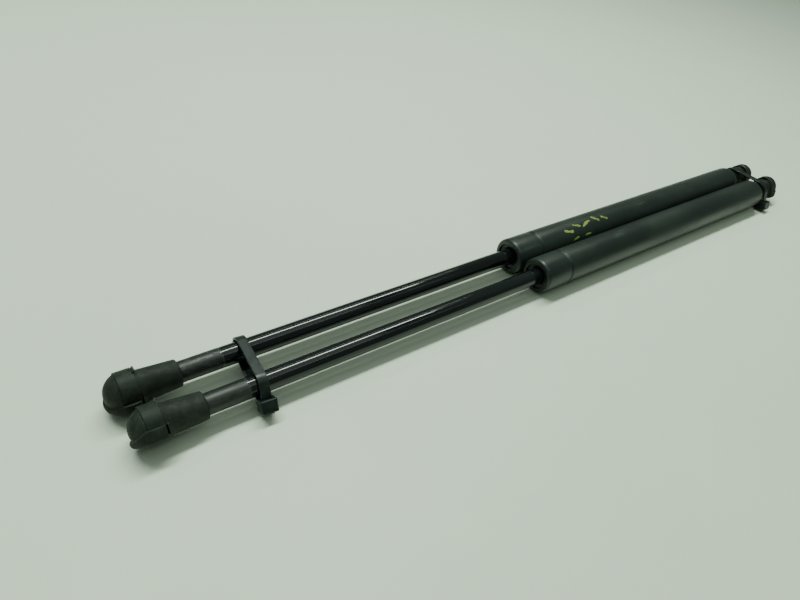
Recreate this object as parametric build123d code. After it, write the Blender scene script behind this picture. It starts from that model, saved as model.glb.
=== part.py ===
from build123d import *
import math
import os

# A pair of gas strut stays, lying side by side and strapped together with two cable ties.
# Millimetres. Each strut runs along X: its rod end points to -X and its tube end to +X.
# Strut coordinates have x = 0 at the tube's rod-end face and the strut's axis on the X axis.
# The left strut is at +Y and the right strut is at -Y. Z is up, and the tubes rest on z = 0.

# ---- driving dimensions: strut ----
tube_od = 22.0
tube_wall = 1.5
rod_d = 10.0
stroke = 195.0
rod_left_out = 13.0
gas_room = 15.6
tube_gap = 0.2
right_strut_shift = 2.7

# ---- tube details ----
roll_radius = 2.0
roll_lip_r = 8.0
bead_from_face = 21.2
bead_width = 2.6
bead_depth = 0.8
bead_flat = 1.0
shoulder_radius = 5.0
tail_lip_r = 5.4

# ---- rod guide package, from the rod-end lip inwards ----
end_washer_thickness = 1.5
end_washer_dish_depth = 0.8
end_washer_dish_width = 1.2
guide_length = 9.0
guide_counterbore_step = 1.35
bush_wall = 1.0
bush_length = 7.0
seal_washer_thickness = 1.6
seal_washer_gap = 0.2
seal_lip_depth = 1.6
seal_lip_share = 0.2

# ---- piston package, from the rod shoulder inwards ----
bead_to_stop = 0.8
stop_washer_thickness = 1.5
stop_washer_r = 7.6
piston_length = 8.0
piston_clearance = 0.25
ring_width = 3.0
ring_depth = 2.2
orifice_disc_thickness = 0.5
orifice_disc_r = 6.6
retaining_washer_thickness = 1.2
retaining_washer_r = 5.6
spigot_r = 3.0
rivet_r = 4.2
rivet_thickness = 1.4
bypass_hole_r = 0.6
bypass_hole_from_axis = 5.0

# ---- tube end plug ----
plug_length = 14.0
plug_seal_section = 2.0
plug_groove_depth = 1.6
plug_seal_from_inner_face = 4.0

# ---- threaded ends, drawn at their outer diameter ----
stud_d = 8.0
stud_length = 12.0
stud_chamfer = 0.8
stud_hole_extra_depth = 0.5

# ---- ball socket end fitting ----
ball_d = 10.0
ball_play = 0.1
ball_to_shank_end = 23.0
shank_end_r = 6.4
shank_root_wide = 6.8
shank_root_tall = 7.9
shank_root_from_ball = 6.0
shank_end_chamfer = 0.5
dome_r = 9.0
collar_r = 9.6
collar_top = 0.6
mouth_from_ball = 6.6
collar_round = 2.2
collar_slope_from_ball = 3.6
collar_slope = 28.8
mouth_bevel = 0.6

# ---- retaining clip ----
clip_width = 7.2
clip_shift = 0.7
clip_thickness = 0.8
clip_leg_inside = 7.5
clip_arch_centre = 1.1
clip_gap = 7.2
clip_tab_top = 4.2
clip_play = 0.1
clip_travel = 3.0
clip_side_gap = 0.75
clip_side_gap_top = 6.0
clip_lip_width = 3.6
clip_lip_length = 1.8
clip_lip_lean = 35.0

# ---- angle of each socket's crown from +Z, positive towards +Y ----
crown_angle = {
    "left_rod": 10.0,
    "right_rod": 46.0,
    "left_tube": -8.0,
    "right_tube": 14.0,
}

# ---- cable ties ----
strap_width = 4.8
strap_thickness = 1.2
tie_head_width = 7.8
tie_head_depth = 7.6
tie_head_height = 6.4
tie_head_outside_strap = 2.6
tie_head_fillet = 0.6
tie_tail_stub = 1.2
tie_tail_root = 0.5
tie_root_r = 2.0
front_tie_from_shank = 28.0
front_tie_gap = 0.7
front_tie_skew = 5.0
front_tie_lean = 32.0
front_tie_drop = 5.4
rear_tie_past_tube = 7.0
rear_tie_left_gap = 0.9
rear_tie_right_gap = 1.7
rear_tie_lean = 22.0
rear_tie_drop = 7.0

# ---- clearances ----
running_clearance = 0.05
seal_clearance = 0.02

# ---- corner roundings ----
fine_round = 0.2
edge_round = 0.3
rim_round = 0.4
piston_round = 0.5
seal_round = 0.6
end_round = 0.8

# ---- derived ----
tube_r = tube_od / 2
bore_r = tube_r - tube_wall
rod_r = rod_d / 2
stud_r = stud_d / 2
cavity_r = ball_d / 2 + ball_play
strut_spacing = tube_od + tube_gap
shank_end_x = -(stroke + rod_left_out)
rod_ball_x = shank_end_x - ball_to_shank_end
bead_start = bead_from_face - bead_width / 2
bead_end = bead_from_face + bead_width / 2
guide_start = tube_wall + end_washer_thickness
seal_start = guide_start + guide_length
seal_end = bead_start - seal_washer_thickness
piston_start = bead_end + bead_to_stop + stop_washer_thickness
piston_end = piston_start + piston_length
disc_end = piston_end + orifice_disc_thickness
spigot_end = disc_end + retaining_washer_thickness
rivet_end = spigot_end + rivet_thickness
ring_start = piston_start + (piston_length - ring_width) / 2
ring_groove_r = bore_r - ring_depth
plug_start = rivet_end + stroke + gas_room
plug_end = plug_start + plug_length
tube_length = plug_end + tube_wall
tube_ball_x = tube_length + ball_to_shank_end
plug_seal_x = plug_start + plug_seal_from_inner_face
clip_outer = clip_leg_inside + clip_thickness
clip_tab_end = clip_tab_top + clip_thickness
shank_tie_r = shank_end_r + (shank_root_tall - shank_end_r) * rear_tie_past_tube / (
    ball_to_shank_end - shank_root_from_ball
)
front_tie_x = shank_end_x + front_tie_from_shank
rear_tie_x = tube_length + rear_tie_past_tube



def turned(outline):
    """Solid of revolution about X. Each outline point is (x, radius, corner rounding)."""
    face = make_face(Polyline(*[(x, r) for x, r, _ in outline], close=True))
    for x, r, rounding in outline:
        if rounding > 0:
            corner = face.vertices().sort_by_distance((x, r, 0))[0]
            face = fillet(corner, rounding)
    return revolve(face, Axis.X, 360)


def pressure_tube():
    """Drawn steel tube, rolled over at both ends, with a bead that locks the guide package."""
    flat = bead_flat / 2
    inner_roll = roll_radius - tube_wall
    inner_shoulder = shoulder_radius - tube_wall
    outside = [
        (0, roll_lip_r, edge_round),
        (0, tube_r, roll_radius),
        (bead_start, tube_r, rim_round),
        (bead_from_face - flat, tube_r - bead_depth, edge_round),
        (bead_from_face + flat, tube_r - bead_depth, edge_round),
        (bead_end, tube_r, rim_round),
        (tube_length, tube_r, shoulder_radius),
        (tube_length, tail_lip_r, fine_round),
    ]
    inside = [
        (plug_end, tail_lip_r, 0),
        (plug_end, bore_r, inner_shoulder),
        (bead_end, bore_r, 0),
        (bead_from_face + flat, bore_r - bead_depth, 0),
        (bead_from_face - flat, bore_r - bead_depth, 0),
        (bead_start, bore_r, 0),
        (tube_wall, bore_r, inner_roll),
        (tube_wall, roll_lip_r, 0),
    ]
    return turned(outside + inside)


def end_washer():
    """Dished plastic washer that closes the rod end behind the rolled lip and wipes the rod."""
    hole_r = rod_r + running_clearance
    return turned([
        (tube_wall, hole_r + end_washer_dish_width, edge_round),
        (tube_wall, bore_r, roll_radius - tube_wall),
        (guide_start, bore_r, 0),
        (guide_start, hole_r, 0),
        (tube_wall + end_washer_dish_depth, hole_r, 0),
    ])


def rod_guide():
    """Guide body that holds the bearing bush central in the tube."""
    bush_r = rod_r + running_clearance + bush_wall
    counterbore_r = bush_r + guide_counterbore_step
    return turned([
        (guide_start, bush_r, 0),
        (guide_start, bore_r, rim_round),
        (seal_start, bore_r, rim_round),
        (seal_start, counterbore_r, 0),
        (guide_start + bush_length, counterbore_r, rim_round),
        (guide_start + bush_length, bush_r, 0),
    ])


def guide_bush():
    """Thin bearing bush that the rod runs in."""
    inner = rod_r + running_clearance
    return turned([
        (guide_start, inner, 0),
        (guide_start, inner + bush_wall, 0),
        (guide_start + bush_length, inner + bush_wall, 0),
        (guide_start + bush_length, inner, 0),
    ])


def rod_seal():
    """Rubber lip seal, its inner lip pressed to the rod by the gas."""
    inner = rod_r + seal_clearance
    lip = seal_lip_share * (bore_r - rod_r)
    lip_r = inner + lip
    return turned([
        (seal_start, inner, 0),
        (seal_start, bore_r, edge_round),
        (seal_end, bore_r, edge_round),
        (seal_end, bore_r - lip, 0),
        (seal_end - seal_lip_depth, bore_r - 2 * lip, fine_round),
        (seal_end - seal_lip_depth, lip_r + lip, fine_round),
        (seal_end, lip_r, 0),
        (seal_end, inner, 0),
    ])


def seal_washer():
    """Steel washer between the seal and the bead."""
    inner = rod_r + seal_washer_gap
    return turned([
        (seal_end, inner, 0),
        (seal_end, bore_r, 0),
        (bead_start, bore_r, 0),
        (bead_start, inner, 0),
    ])


def piston_rod():
    """Ground rod: threaded stud, bearing length, then the spigot and the rivet head."""
    shoulder = piston_start - stop_washer_thickness
    return turned([
        (shank_end_x - stud_length, 0, 0),
        (shank_end_x - stud_length, stud_r - stud_chamfer, 0),
        (shank_end_x - stud_length + stud_chamfer, stud_r, 0),
        (shank_end_x, stud_r, 0),
        (shank_end_x, rod_r, rim_round),
        (shoulder, rod_r, edge_round),
        (shoulder, spigot_r, 0),
        (spigot_end, spigot_r, 0),
        (spigot_end, rivet_r, 0),
        (rivet_end, rivet_r, end_round),
        (rivet_end, 0, 0),
    ])


def stop_washer():
    """Washer between the rod shoulder and the piston."""
    start = piston_start - stop_washer_thickness
    return turned([
        (start, spigot_r, 0),
        (start, stop_washer_r, edge_round),
        (piston_start, stop_washer_r, 0),
        (piston_start, spigot_r, 0),
    ])


def piston():
    """Piston with its ring groove and two drilled gas passages."""
    outer = bore_r - piston_clearance
    ring_end = ring_start + ring_width
    body = turned([
        (piston_start, spigot_r, 0),
        (piston_start, outer, piston_round),
        (ring_start - running_clearance, outer, 0),
        (ring_start - running_clearance, ring_groove_r, 0),
        (ring_end + running_clearance, ring_groove_r, 0),
        (ring_end + running_clearance, outer, 0),
        (piston_end, outer, piston_round),
        (piston_end, spigot_r, 0),
    ])
    middle = (piston_start + piston_end) / 2
    for side in (-1, 1):
        place = Pos(middle, side * bypass_hole_from_axis, 0) * Rot(0, 90, 0)
        body -= place * Cylinder(bypass_hole_r, piston_length + 1)
    return body


def piston_ring():
    """Ring that seals the piston in the bore, free to turn in its groove."""
    inner = ring_groove_r + running_clearance
    outer = bore_r - running_clearance
    return turned([
        (ring_start, inner, 0),
        (ring_start, outer, edge_round),
        (ring_start + ring_width, outer, edge_round),
        (ring_start + ring_width, inner, 0),
    ])


def orifice_disc():
    """Thin spring disc with a notch that meters the gas behind the piston."""
    disc = turned([
        (piston_end, spigot_r, 0),
        (piston_end, orifice_disc_r, 0),
        (disc_end, orifice_disc_r, 0),
        (disc_end, spigot_r, 0),
    ])
    middle = (piston_end + disc_end) / 2
    notch = Pos(middle, bypass_hole_from_axis, 0) * Rot(0, 90, 0)
    return disc - notch * Cylinder(bypass_hole_r, 2 * orifice_disc_thickness)


def retaining_washer():
    """Washer under the rivet head."""
    return turned([
        (disc_end, spigot_r, 0),
        (disc_end, retaining_washer_r, 0),
        (spigot_end, retaining_washer_r, edge_round),
        (spigot_end, spigot_r, 0),
    ])


def end_plug():
    """Plug that closes the tube end, with the threaded stud for the end fitting."""
    half = plug_seal_section / 2
    stud_end = tube_length + stud_length
    return turned([
        (plug_start, 0, 0),
        (plug_start, bore_r, end_round),
        (plug_seal_x - half, bore_r, 0),
        (plug_seal_x - half, bore_r - plug_groove_depth, 0),
        (plug_seal_x + half, bore_r - plug_groove_depth, 0),
        (plug_seal_x + half, bore_r, 0),
        (plug_end, bore_r, shoulder_radius - tube_wall),
        (plug_end, tail_lip_r, 0),
        (tube_length, tail_lip_r, 0),
        (tube_length, stud_r, 0),
        (stud_end - stud_chamfer, stud_r, 0),
        (stud_end, stud_r - stud_chamfer, 0),
        (stud_end, 0, 0),
    ])


def plug_seal():
    """Rubber ring in the plug's groove, squeezed to the bore."""
    half = plug_seal_section / 2
    return turned([
        (plug_seal_x - half, bore_r - plug_groove_depth, edge_round),
        (plug_seal_x - half, bore_r, seal_round),
        (plug_seal_x + half, bore_r, seal_round),
        (plug_seal_x + half, bore_r - plug_groove_depth, edge_round),
    ])


def arch(inner, width):
    """Upside-down U in the YZ plane, centred on x = 0: a half ring on two straight legs."""
    outer = inner + clip_thickness
    foot = clip_tab_end + clip_arch_centre
    ring = Circle(outer) - Circle(inner)
    ring &= Pos(0, outer) * Rectangle(2 * outer, 2 * outer)
    legs = Rectangle(2 * outer, foot, align=(Align.CENTER, Align.MAX))
    legs -= Rectangle(2 * inner, foot, align=(Align.CENTER, Align.MAX))
    flat = Plane.YZ * (Pos(0, clip_arch_centre) * (ring + legs))
    return extrude(flat, width / 2, both=True)


def ball_socket():
    """Moulded end fitting about the ball centre: shank towards +X, mouth towards -Z."""
    root = Ellipse(shank_root_wide, shank_root_tall)
    shank = loft([
        Plane.YZ.offset(ball_to_shank_end) * Circle(shank_end_r),
        Plane.YZ.offset(shank_root_from_ball) * root,
    ])
    shank_tip = shank.faces().sort_by(Axis.X)[-1]
    shank = chamfer(shank_tip.edges(), shank_end_chamfer)
    shank += extrude(Plane.YZ * root, shank_root_from_ball)
    big = 4 * ball_to_shank_end
    above_mouth = Pos(0, 0, -mouth_from_ball) * Box(
        big, big, big, align=(Align.CENTER, Align.CENTER, Align.MIN)
    )
    collar_height = mouth_from_ball - collar_top
    collar = Pos(0, 0, -collar_top) * Cylinder(
        collar_r, collar_height, align=(Align.CENTER, Align.CENTER, Align.MAX)
    )
    collar = fillet(collar.edges().group_by(Axis.Z)[0], collar_round)
    collar = fillet(collar.edges().group_by(Axis.Z)[-1], rim_round)
    slope = Pos(-collar_slope_from_ball, 0, -collar_top) * Rot(0, -collar_slope, 0)
    collar -= slope * Box(big, big, big, align=(Align.MAX, Align.CENTER, Align.MIN))
    head = Sphere(dome_r) & above_mouth
    body = (shank & above_mouth) + head + collar
    cavity = Sphere(cavity_r)
    cavity += Cylinder(cavity_r, big, align=(Align.CENTER, Align.CENTER, Align.MAX))
    mouth_r = cavity_r + mouth_bevel
    cavity += Pos(0, 0, -mouth_from_ball) * Cone(
        mouth_r, cavity_r, mouth_bevel, align=(Align.CENTER, Align.CENTER, Align.MIN)
    )
    body -= cavity
    hole_depth = stud_length + stud_hole_extra_depth
    hole = Pos(ball_to_shank_end - hole_depth / 2, 0, 0) * Rot(0, 90, 0)
    body -= hole * Cylinder(stud_r, hole_depth)
    return body - clip_recess()


def clip_recess():
    """Room for the clip: a band over the dome, slots beside the ball and windows to the ball.

    Above the collar the room is open to the outside. On the shank's side it widens downwards.
    """
    slot_outer = clip_outer + clip_play
    slot_inner = clip_leg_inside - clip_play
    slot_bottom = clip_tab_end + clip_play
    window_top = clip_tab_top - clip_travel - clip_play
    big = 3 * dome_r
    band = Circle(big) - Circle(slot_inner)
    band &= Pos(0, big) * Rectangle(2 * big, 2 * big)
    flat = Pos(0, clip_arch_centre) * band
    open_height = clip_arch_centre + collar_top
    for side in (-1, 1):
        beside = Pos(side * (big + slot_inner) / 2, -collar_top)
        flat += beside * Rectangle(big - slot_inner, open_height, align=(Align.CENTER, Align.MIN))
        beside = Pos(side * (slot_outer + slot_inner) / 2, 0)
        flat += beside * Rectangle(slot_outer - slot_inner, slot_bottom, align=(Align.CENTER, Align.MAX))
        beside = Pos(side * (slot_outer / 2 + clip_gap / 4), -(window_top + slot_bottom) / 2)
        flat += beside * Rectangle(slot_outer - clip_gap / 2, slot_bottom - window_top)
    tip_side = clip_shift - clip_width / 2 - clip_play
    shank_side = clip_shift + clip_width / 2 + clip_play
    outline = Polyline(
        (tip_side, big),
        (shank_side, big),
        (shank_side, clip_side_gap_top),
        (shank_side + clip_side_gap, 0),
        (shank_side + clip_side_gap, -big),
        (tip_side, -big),
        close=True,
    )
    width = extrude(Plane.XZ * make_face(outline), big, both=True)
    return extrude(Plane.YZ * flat, big, both=True) & width


def socket_clip():
    """Spring steel band over the dome. Its turned-in ends hold the ball by the neck."""
    clip = arch(clip_leg_inside, clip_width)
    for side in (-1, 1):
        tab_length = clip_outer - clip_gap / 2
        tab_middle = side * (clip_outer + clip_gap / 2) / 2
        clip += Pos(0, tab_middle, -(clip_tab_top + clip_tab_end) / 2) * Box(
            clip_width, tab_length, clip_thickness
        )
    edge = (clip_width - clip_thickness) / 2
    middle = clip_arch_centre + clip_leg_inside + clip_thickness / 2
    lip = Pos(edge, 0, middle) * Rot(0, clip_lip_lean, 0)
    lip *= Box(
        clip_thickness, clip_lip_width, clip_lip_length, align=(Align.CENTER, Align.CENTER, Align.MIN)
    )
    return Pos(clip_shift, 0, 0) * (clip + lip)


def tie(left_r, right_r, lean, drop):
    """Closed cable tie about two shafts, in the YZ plane and centred on x = 0.

    The strap's loop is the tight outline round both shafts and the head's root. The head sits
    on the straight stretch that leaves the right shaft, `drop` along it and leaning by `lean`.
    """
    half = strut_spacing / 2
    along = Vector(-math.sin(math.radians(lean)), -math.cos(math.radians(lean)))
    out = Vector(-math.cos(math.radians(lean)), math.sin(math.radians(lean)))
    right = Vector(-half, 0)
    root = right + out * (right_r - tie_root_r) + along * (drop + tie_head_height / 2)
    circles = Pos(half, 0) * Circle(left_r) + Pos(right.X, right.Y) * Circle(right_r)
    circles += Pos(root.X, root.Y) * Circle(tie_root_r)
    inside = make_hull(circles.edges())
    outside = offset(inside, strap_thickness, kind=Kind.ARC)
    loop = extrude(Plane.YZ * (outside - inside), strap_width / 2, both=True)
    face_out = right_r + strap_thickness + tie_head_outside_strap
    centre = right + out * (face_out - tie_head_depth / 2) + along * (drop + tie_head_height / 2)
    turn = Pos(0, centre.X, centre.Y) * Rot(-lean, 0, 0)
    head = Box(tie_head_width, tie_head_depth, tie_head_height)
    head = turn * fillet(head.edges(), tie_head_fillet)
    stub_centre = right + out * (right_r + strap_thickness / 2)
    stub_centre += along * (drop + tie_head_height + tie_tail_stub / 2)
    stub = Pos(0, stub_centre.X, stub_centre.Y) * Rot(-lean, 0, 0)
    stub *= Box(strap_width, strap_thickness, tie_tail_stub + 2 * tie_tail_root)
    return loop + head + stub


def front_tie():
    """Tie round both rods, a little loose and a little skewed."""
    loop_r = rod_r + front_tie_gap
    shape = tie(loop_r, loop_r, front_tie_lean, front_tie_drop)
    middle_x = front_tie_x + right_strut_shift / 2
    return Pos(middle_x, 0, tube_r) * Rot(0, 0, -front_tie_skew) * shape


def rear_tie():
    """Tie round the necks of both tube-end fittings, slack on the right-hand side."""
    left_r = shank_tie_r + rear_tie_left_gap
    right_r = shank_tie_r + rear_tie_right_gap
    shape = tie(left_r, right_r, rear_tie_lean, rear_tie_drop)
    return Pos(rear_tie_x + right_strut_shift / 2, 0, tube_r) * shape


def fitting_place(end, side):
    """Where a ball socket and its clip sit on the strut: at the ball centre, crown turned."""
    turn = Rot(-crown_angle[f"{side}_{end}"], 0, 0)
    if end == "rod":
        return Pos(rod_ball_x, 0, 0) * turn
    return Pos(tube_ball_x, 0, 0) * turn * Rot(0, 0, 180)


def strut(side):
    """Every piece of one strut, in strut coordinates, by name."""
    pieces = {
        "pressure_tube": pressure_tube(),
        "end_washer": end_washer(),
        "rod_guide": rod_guide(),
        "guide_bush": guide_bush(),
        "rod_seal": rod_seal(),
        "seal_washer": seal_washer(),
        "piston_rod": piston_rod(),
        "stop_washer": stop_washer(),
        "piston": piston(),
        "piston_ring": piston_ring(),
        "orifice_disc": orifice_disc(),
        "retaining_washer": retaining_washer(),
        "end_plug": end_plug(),
        "plug_seal": plug_seal(),
    }
    for end in ("rod", "tube"):
        pieces[f"{end}_ball_socket"] = fitting_place(end, side) * ball_socket()
        pieces[f"{end}_socket_clip"] = fitting_place(end, side) * socket_clip()
    return pieces


def strut_place(side):
    """Where a strut's own axes sit beside the other strut."""
    if side == "left":
        return Pos(0, strut_spacing / 2, tube_r)
    return Pos(right_strut_shift, -strut_spacing / 2, tube_r)


def assembly():
    """All pieces by node name, with the origin under the middle of the whole bundle."""
    pieces = {}
    for side in ("left", "right"):
        for name, shape in strut(side).items():
            pieces[f"{side}_{name}"] = strut_place(side) * shape
    pieces["front_tie"] = front_tie()
    pieces["rear_tie"] = rear_tie()
    whole = Compound([solid for shape in pieces.values() for solid in shape.solids()])
    box = whole.bounding_box()
    to_origin = Pos(-box.center().X, -box.center().Y, 0)
    return {name: to_origin * shape for name, shape in pieces.items()}, to_origin


nodes, origin_shift = assembly()
os.makedirs("parts", exist_ok=True)
for node_name, node_shape in nodes.items():
    export_step(node_shape, f"parts/{node_name}.step")
print("origin shift", origin_shift.position)
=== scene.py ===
"""Two gas strut stays strapped side by side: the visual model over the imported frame."""

import math

import bpy
import numpy as np
from bpy.props import FloatProperty, FloatVectorProperty, IntProperty, PointerProperty
from mathutils import Matrix, Vector


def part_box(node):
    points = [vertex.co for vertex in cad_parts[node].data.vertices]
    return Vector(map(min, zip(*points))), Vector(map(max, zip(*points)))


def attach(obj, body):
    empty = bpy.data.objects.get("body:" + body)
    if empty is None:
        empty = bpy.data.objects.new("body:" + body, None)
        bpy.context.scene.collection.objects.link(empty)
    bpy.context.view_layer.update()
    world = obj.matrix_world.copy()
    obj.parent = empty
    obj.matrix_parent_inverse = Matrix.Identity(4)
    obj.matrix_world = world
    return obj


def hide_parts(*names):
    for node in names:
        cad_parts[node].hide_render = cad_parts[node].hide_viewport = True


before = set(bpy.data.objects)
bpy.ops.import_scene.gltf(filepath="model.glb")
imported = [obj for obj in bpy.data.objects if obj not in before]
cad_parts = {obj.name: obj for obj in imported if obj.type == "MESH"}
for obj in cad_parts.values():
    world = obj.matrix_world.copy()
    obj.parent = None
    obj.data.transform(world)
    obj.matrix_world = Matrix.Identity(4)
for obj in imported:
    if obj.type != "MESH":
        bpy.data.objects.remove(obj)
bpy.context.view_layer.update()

bl_info = {
    "name": "Gas strut stay pair",
    "version": (1, 0, 0),
    "blender": (4, 5, 0),
    "location": "View3D > Sidebar > Stay",
    "description": "Tubes, rods, ball sockets, clips and cable ties of a strapped pair of gas struts",
    "category": "Object",
}

MM = 0.001

# ---- sizes that belong to the frame, in millimetres ----
TUBE_R = 11.0
TUBE_WALL = 1.5
BORE_R = TUBE_R - TUBE_WALL
TUBE_LENGTH = 262.0
ROLL_RADIUS = 2.0
ROLL_LIP_R = 8.0
BEAD_AT = 21.2
BEAD_HALF = 1.3
BEAD_FLAT_HALF = 0.5
BEAD_DEPTH = 0.8
SHOULDER_RADIUS = 5.0
TAIL_LIP_R = 5.4
ROD_R = 5.0
ROD_OUT = 208.0
ROD_SHOULDER = 23.3
SPIGOT_R = 3.0
SPIGOT_END = 34.5
RIVET_R = 4.2
RIVET_END = 35.9
STUD_R = 4.0
STUD_LENGTH = 12.0
STUD_CHAMFER = 0.8
WASHER_THICKNESS = 1.5
WASHER_HOLE_R = ROD_R + 0.05
WASHER_DISH_WIDTH = 1.2
WASHER_DISH_DEPTH = 0.8
SHANK_FROM_BALL = 23.0
SHANK_END_R = 6.4
SHANK_ROOT_R = 6.8
SHANK_ROOT_TALL = 7.9
SHANK_ROOT_AT = 6.0
DOME_R = 9.0
COLLAR_R = 9.6
COLLAR_TOP = -0.6
MOUTH_AT = -6.6
COLLAR_ROUND = 2.2
COLLAR_SLOPE_FROM = -3.6
COLLAR_SLOPE = math.radians(28.8)
MOUTH_BEVEL = 0.6
CAVITY_R = 5.1
STUD_HOLE_DEPTH = 12.5
CLIP_WIDTH = 7.2
CLIP_SHIFT = 0.7
CLIP_THICKNESS = 0.8
CLIP_INNER_R = 7.5
CLIP_ARCH_AT = 1.1
CLIP_TAB_TOP = -4.2
CLIP_GAP = 7.2
CLIP_PLAY = 0.1
CLIP_TRAVEL = 3.0
CLIP_LIP_WIDTH = 3.6
CLIP_LIP_LENGTH = 1.8
CLIP_LIP_LEAN = math.radians(35)
CLIP_LIP_FLUSH = 0.05
CLIP_LIP_THINNER = 0.02
CLIP_LIP_ROOT = 1.2
CLIP_LIP_BEND = 0.6
CLIP_LIP_EDGE = 0.25
CLIP_BEND = 0.7
CLIP_EDGE = 0.22
CLIP_SIDE_GAP = 0.75
CLIP_SIDE_GAP_TOP = 6.0
CROWN = {"left_rod": 10.0, "right_rod": 46.0, "left_tube": -8.0, "right_tube": 14.0}
STRAP_WIDTH = 4.8
STRAP_THICKNESS = 1.2
HEAD_WIDTH = 7.8
HEAD_DEPTH = 7.6
HEAD_HEIGHT = 6.4
HEAD_OUTSIDE_STRAP = 2.6
TAIL_STUB = 1.2
TIE_ROOT_R = 2.0
FRONT_TIE = {"left": 5.7, "right": 5.7, "lean": 32.0, "drop": 5.4, "skew": 5.0, "at": -178.65}
REAR_TIE = {"left": 7.918, "right": 8.718, "lean": 22.0, "drop": 7.0, "skew": 0.0, "at": 270.35}

# ---- where the two struts lie, from the frame's own boxes ----
AXIS = {}
for side in ("left", "right"):
    low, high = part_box(f"{side}_pressure_tube")
    AXIS[side] = np.array([low.x, (low.y + high.y) / 2, (low.z + high.z) / 2]) / MM
BETWEEN = (AXIS["left"] + AXIS["right"]) / 2
BETWEEN[0] = AXIS["left"][0]
REACH = (AXIS["left"][1] - AXIS["right"][1]) / 2


# ======================= surfaces =======================

def rounded(outline, closed, turn=12.0):
    """Round an outline's corners.

    Each corner (x, r, radius) becomes an arc that touches both of its sides: its centre lies on
    the corner's bisector at radius / sin(half angle), and the arc is cut every `turn` degrees.
    """
    corners = np.array([(x, r) for x, r, _ in outline], float)
    done = []
    for i, (_, _, radius) in enumerate(outline):
        here = corners[i]
        if radius <= 0 or (not closed and i in (0, len(outline) - 1)):
            done.append(here[None])
            continue
        back = corners[i - 1] - here
        ahead = corners[(i + 1) % len(outline)] - here
        back /= np.linalg.norm(back)
        ahead /= np.linalg.norm(ahead)
        half = math.acos(np.clip(back @ ahead, -1, 1)) / 2
        middle = (back + ahead) / np.linalg.norm(back + ahead)
        centre = here + middle * radius / math.sin(half)
        start = here + back * radius / math.tan(half) - centre
        end = here + ahead * radius / math.tan(half) - centre
        sweep = math.pi - 2 * half
        steps = max(2, math.ceil(math.degrees(sweep) / turn))
        t = np.linspace(0, 1, steps + 1)[:, None]
        weights = np.sin((1 - t) * sweep) * start + np.sin(t * sweep) * end
        done.append(centre + weights / math.sin(sweep))
    return np.concatenate(done)


def outward(points, quads, tris):
    """Turn every face over when the volume under the faces comes out negative."""
    t = np.concatenate([tris, quads[:, [0, 1, 2]], quads[:, [0, 2, 3]]])
    a, b, c = points[t[:, 0]], points[t[:, 1]], points[t[:, 2]]
    if np.einsum("ij,ij->", a - points.mean(0), np.cross(b - a, c - a)) < 0:
        return points, quads[:, ::-1], tris[:, ::-1]
    return points, quads, tris


def grid_skin(grid, ring):
    """Closed skin over a grid of points whose columns run round.

    With `ring` the rows run round too, as on a hoop. Otherwise the first and last rows are
    closed by fans to their middles.
    """
    rows, columns = grid.shape[:2]
    points = grid.reshape(-1, 3)
    index = np.arange(rows * columns).reshape(rows, columns)
    if ring:
        below, above = index, np.roll(index, -1, 0)
    else:
        below, above = index[:-1], index[1:]
    quads = np.stack([below, np.roll(below, -1, 1), np.roll(above, -1, 1), above], -1)
    quads = quads.reshape(-1, 4)
    tris = np.zeros((0, 3), int)
    if not ring:
        poles = np.stack([grid[0].mean(0), grid[-1].mean(0)])
        first, last = len(points), len(points) + 1
        points = np.concatenate([points, poles])
        start = np.stack([np.roll(index[0], -1), index[0], np.full(columns, first)], -1)
        end = np.stack([index[-1], np.roll(index[-1], -1), np.full(columns, last)], -1)
        tris = np.concatenate([start, end])
    return outward(points, quads, tris)


def together(*skins):
    """Several closed skins as one set of points and faces."""
    points, quads, tris, count = [], [], [], 0
    for p, q, t in skins:
        points.append(p)
        quads.append(q + count)
        tris.append(t + count)
        count += len(p)
    return np.concatenate(points), np.concatenate(quads), np.concatenate(tris)


def lathe(outline, axis, segments, closed):
    """Turned skin: point (i, j) is (x of outline i, radius of outline i at angle j)."""
    line = rounded(outline, closed)
    if not closed:
        line = line[line[:, 1] > 0]
    angle = np.linspace(0, 2 * math.pi, segments, endpoint=False)
    x = np.broadcast_to(line[:, :1], (len(line), segments))
    y = line[:, 1:] * np.cos(angle)
    z = line[:, 1:] * np.sin(angle)
    return grid_skin(np.stack([x, y, z], -1) + axis, closed)


def swept(section, path, across, out):
    """Section carried along a path.

    Point (i, j) is path i plus section j's first number along `across` and its second number
    along the path's own outward direction i. A section may differ from step to step.
    """
    first, second = section[..., 0], section[..., 1]
    first = np.broadcast_to(first, (len(path), section.shape[-2]))
    second = np.broadcast_to(second, (len(path), section.shape[-2]))
    return path[:, None] + first[..., None] * across + second[..., None] * out[:, None]


def blend_min(a, b, k):
    """Union of two distance fields with a fillet of about k where they meet."""
    h = np.clip(0.5 + 0.5 * (b - a) / k, 0, 1)
    return b + (a - b) * h - k * h * (1 - h)


def blend_max(a, b, k):
    """Overlap of two distance fields with its edge rounded by about k."""
    return -blend_min(-a, -b, k)


def box_field(p, centre, half, rounding):
    """Distance to a box whose edges are rounded."""
    q = np.abs(p - centre) - (np.array(half) - rounding)
    outside = np.linalg.norm(np.maximum(q, 0), axis=-1)
    return outside + np.minimum(q.max(-1), 0) - rounding


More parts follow.
